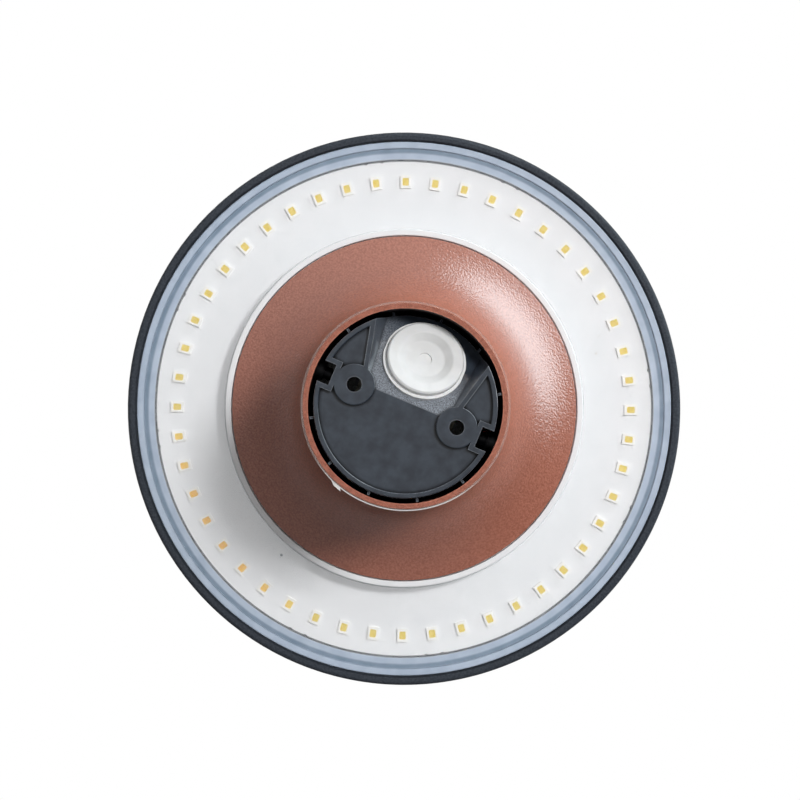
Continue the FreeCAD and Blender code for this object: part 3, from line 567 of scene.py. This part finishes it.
def finishes():
    """The material of each slot in the record."""
    plain = {"Specular IOR Level": 0.4}
    dimmer = {"Specular IOR Level": 0.3}
    flakes = {"Specular IOR Level": 0.5, "Coat IOR": 2.6, "Coat Roughness": 0.2}
    return {
        "base_plastic": base_plastic(),
        "grommet_rubber": grommet_rubber(),
        "rust_coat": powder_coat("rust_coat", (0.03, 0.02, 0.018), (0.40, 0.135, 0.084),
                                 (0.535, 0.197, 0.131), 0.5, flakes, gloss=(stem_matt, stem_glossy)),
        "clear_silicone": edge_seal(),
        "zinc_steel": metal("zinc_steel", (0.56, 0.56, 0.54), (0.66, 0.66, 0.66), 0.32, marks_up),
        "black_steel": metal("black_steel", (0.05, 0.05, 0.055), (0.09, 0.09, 0.095), 0.4, marks_across),
        "anthracite_coat": powder_coat("anthracite_coat", (0.03, 0.035, 0.044), (0.035, 0.041, 0.052),
                                       (0.056, 0.064, 0.078), 0.45, dimmer, pole=cap_pole),
        "clear_polycarbonate": clear_cover(),
        "milky_silicone": milky_silicone(),
        "white_board": white_board(),
        "led_white": moulded("led_white", *led_white_tones, 0.35, plain),
        "phosphor": phosphor(),
        "thermal_grey": moulded("thermal_grey", (0.27, 0.30, 0.33), (0.33, 0.36, 0.39), 0.7, dimmer),
        "bush_rubber": moulded("bush_rubber", (0.02, 0.02, 0.02), (0.035, 0.035, 0.035), 0.65, dimmer),
        "driver_plastic": moulded("driver_plastic", (0.66, 0.66, 0.64), (0.72, 0.72, 0.70), 0.5, plain),
        "potting_resin": moulded("potting_resin", (0.03, 0.03, 0.033), (0.05, 0.05, 0.055), 0.2, plain),
        "terminal_plastic": moulded("terminal_plastic", (0.68, 0.64, 0.54), (0.74, 0.70, 0.60), 0.45, plain),
        "brass": metal("brass", (0.55, 0.38, 0.14), (0.66, 0.48, 0.20), 0.3, marks_up),
        "live_brown": sleeve("live_brown", (0.16, 0.06, 0.028)),
        "neutral_blue": sleeve("neutral_blue", (0.02, 0.09, 0.38)),
        "earth_green": earth_sleeve(),
        "led_red": sleeve("led_red", (0.48, 0.025, 0.02)),
        "led_black": sleeve("led_black", (0.025, 0.025, 0.026)),
    }


def dress():
    """Gives each node the material of its slot."""
    made = finishes()
    for part in frame["record"]["subparts"]:
        for slot in frame["nodes"][part["node"]].material_slots:
            slot.material = made[part["material_slot"]]


def picture_axes():
    """The picture's right and up, in the wall's plane: the camera looks straight at the wall side."""
    turn = math.radians(camera_roll)
    return Vector((-math.cos(turn), 0, math.sin(turn))), Vector((math.sin(turn), 0, math.cos(turn)))


def set_up(place, side, back):
    """Where a camera or lamp stands, given its right-hand side and its back."""
    return Matrix.Translation(place) @ Matrix((side, back.cross(side), back)).transposed().to_4x4()


def add_camera():
    right, up = picture_axes()
    foot = camera_right * right + camera_up * up
    place = foot + Vector((0, camera_from_wall, 0))
    target = foot + aim_right * right + aim_up * up - Vector((0, board_depth, 0))
    back = (place - target).normalized()
    data = bpy.data.cameras.new("camera")
    data.lens = camera_lens
    camera = bpy.data.objects.new("camera", data)
    camera.matrix_world = set_up(place, up.cross(back).normalized(), back)
    bpy.context.collection.objects.link(camera)
    bpy.context.scene.camera = camera


def add_lamp(name, place, power, width, height, colour=(1, 1, 1), mirrored=True):
    """A soft oval lamp that faces the middle of the object, its width running round the light's axis."""
    data = bpy.data.lights.new(name, "AREA")
    data.shape = "ELLIPSE"
    data.size = width
    data.size_y = height
    data.energy = power
    data.color = colour
    lamp = bpy.data.objects.new(name, data)
    lamp.visible_glossy = mirrored
    back = (place - object_middle).normalized()
    lamp.matrix_world = set_up(place, Vector((0, 1, 0)).cross(back).normalized(), back)
    bpy.context.collection.objects.link(lamp)


def leaning(lean, turn):
    """A direction on the wall side: its lean from the camera's axis, its turn up from the picture's right."""
    right, up = picture_axes()
    lean, turn = math.radians(lean), math.radians(turn)
    sideways = math.cos(turn) * right + math.sin(turn) * up
    return math.cos(lean) * Vector((0, 1, 0)) + math.sin(lean) * sideways


def add_lamps():
    """Two key lamps on one side, a fill beside the camera, and a lamp for the front of the head."""
    high, low, fill = [object_middle + lamp_distance * leaning(lean, key_turn)
                       for lean in (high_key_lean, low_key_lean, fill_lean)]
    add_lamp("high_key", high, high_key_power, high_key_size, high_key_size, mirrored=False)
    add_lamp("low_key", low, low_key_power, low_key_width, low_key_size, low_key_colour)
    add_lamp("fill", fill, fill_power, fill_size, fill_size, mirrored=False)
    add_lamp("front", Vector(front_place), front_power, front_size, front_size)


def add_world():
    """White where it is seen, and ambient light mostly from the picture's top, mirrored a little by gloss."""
    world = bpy.data.worlds.new("studio")
    world.use_nodes = True
    tree = Tree(world.node_tree)
    ray = tree.add("TexCoord").outputs["Generated"]
    brightwards = tree.reckon_vector("DOT_PRODUCT", ray, leaning(ambient_lean, ambient_turn))["Value"]
    wallwards = tree.reckon_vector("DOT_PRODUCT", ray, (0, 1, 0))["Value"]
    ambient = tree.spread(brightwards, 0, 1, ambient_low, ambient_high)
    room = tree.spread(brightwards, 0, 1, gloss_low, gloss_high)
    mirrored = tree.spread(wallwards, gloss_white, gloss_room, 1, room)
    glossy = tree.spread(tree.seen_directly("Is Glossy Ray"), 0, 1, ambient, mirrored)
    background = tree.nodes["Background"]
    tree.feed(background.inputs["Color"], (1, 1, 1, 1))
    seen = tree.seen_directly("Is Transmission Ray")
    tree.feed(background.inputs["Strength"], tree.spread(seen, 0, 1, glossy, 1))
    bpy.context.scene.world = world


def floor_material():
    """Pale floor that keeps a shadow, fades to white towards its edge and throws little light back."""
    material = bpy.data.materials.new("floor")
    material.use_nodes = True
    tree = Tree(material.node_tree)
    pale = tree.nodes["Principled BSDF"]
    tree.feed(pale.inputs["Base Color"], (floor_shade, floor_shade, floor_shade, 1))
    tree.feed(pale.inputs["Roughness"], floor_roughness)
    dim = tree.add("BsdfDiffuse")
    tree.feed(dim.inputs["Color"], (floor_bounce, floor_bounce, floor_bounce, 1))
    white = tree.add("Emission")
    seen = tree.seen_directly("Is Transmission Ray")
    from_middle = tree.reckon_vector("LENGTH", tree.add("TexCoord").outputs["Object"])["Value"]
    fade = tree.reckon("MULTIPLY", seen, tree.spread(from_middle, floor_fade_start, floor_fade_end))
    shown = tree.either(seen, dim.outputs["BSDF"], pale.outputs["BSDF"])
    tree.show(tree.either(fade, shown, white.outputs["Emission"]))
    return material


def add_floor():
    bpy.ops.mesh.primitive_circle_add(vertices=floor_corners, radius=floor_radius, fill_type="NGON",
                                      location=(0, object_middle.y, floor_height))
    floor = bpy.context.object
    floor.name = "floor"
    floor.data.materials.append(floor_material())


dress()
add_camera()
add_lamps()
add_world()
add_floor()
bpy.context.scene.view_settings.view_transform = "Standard"
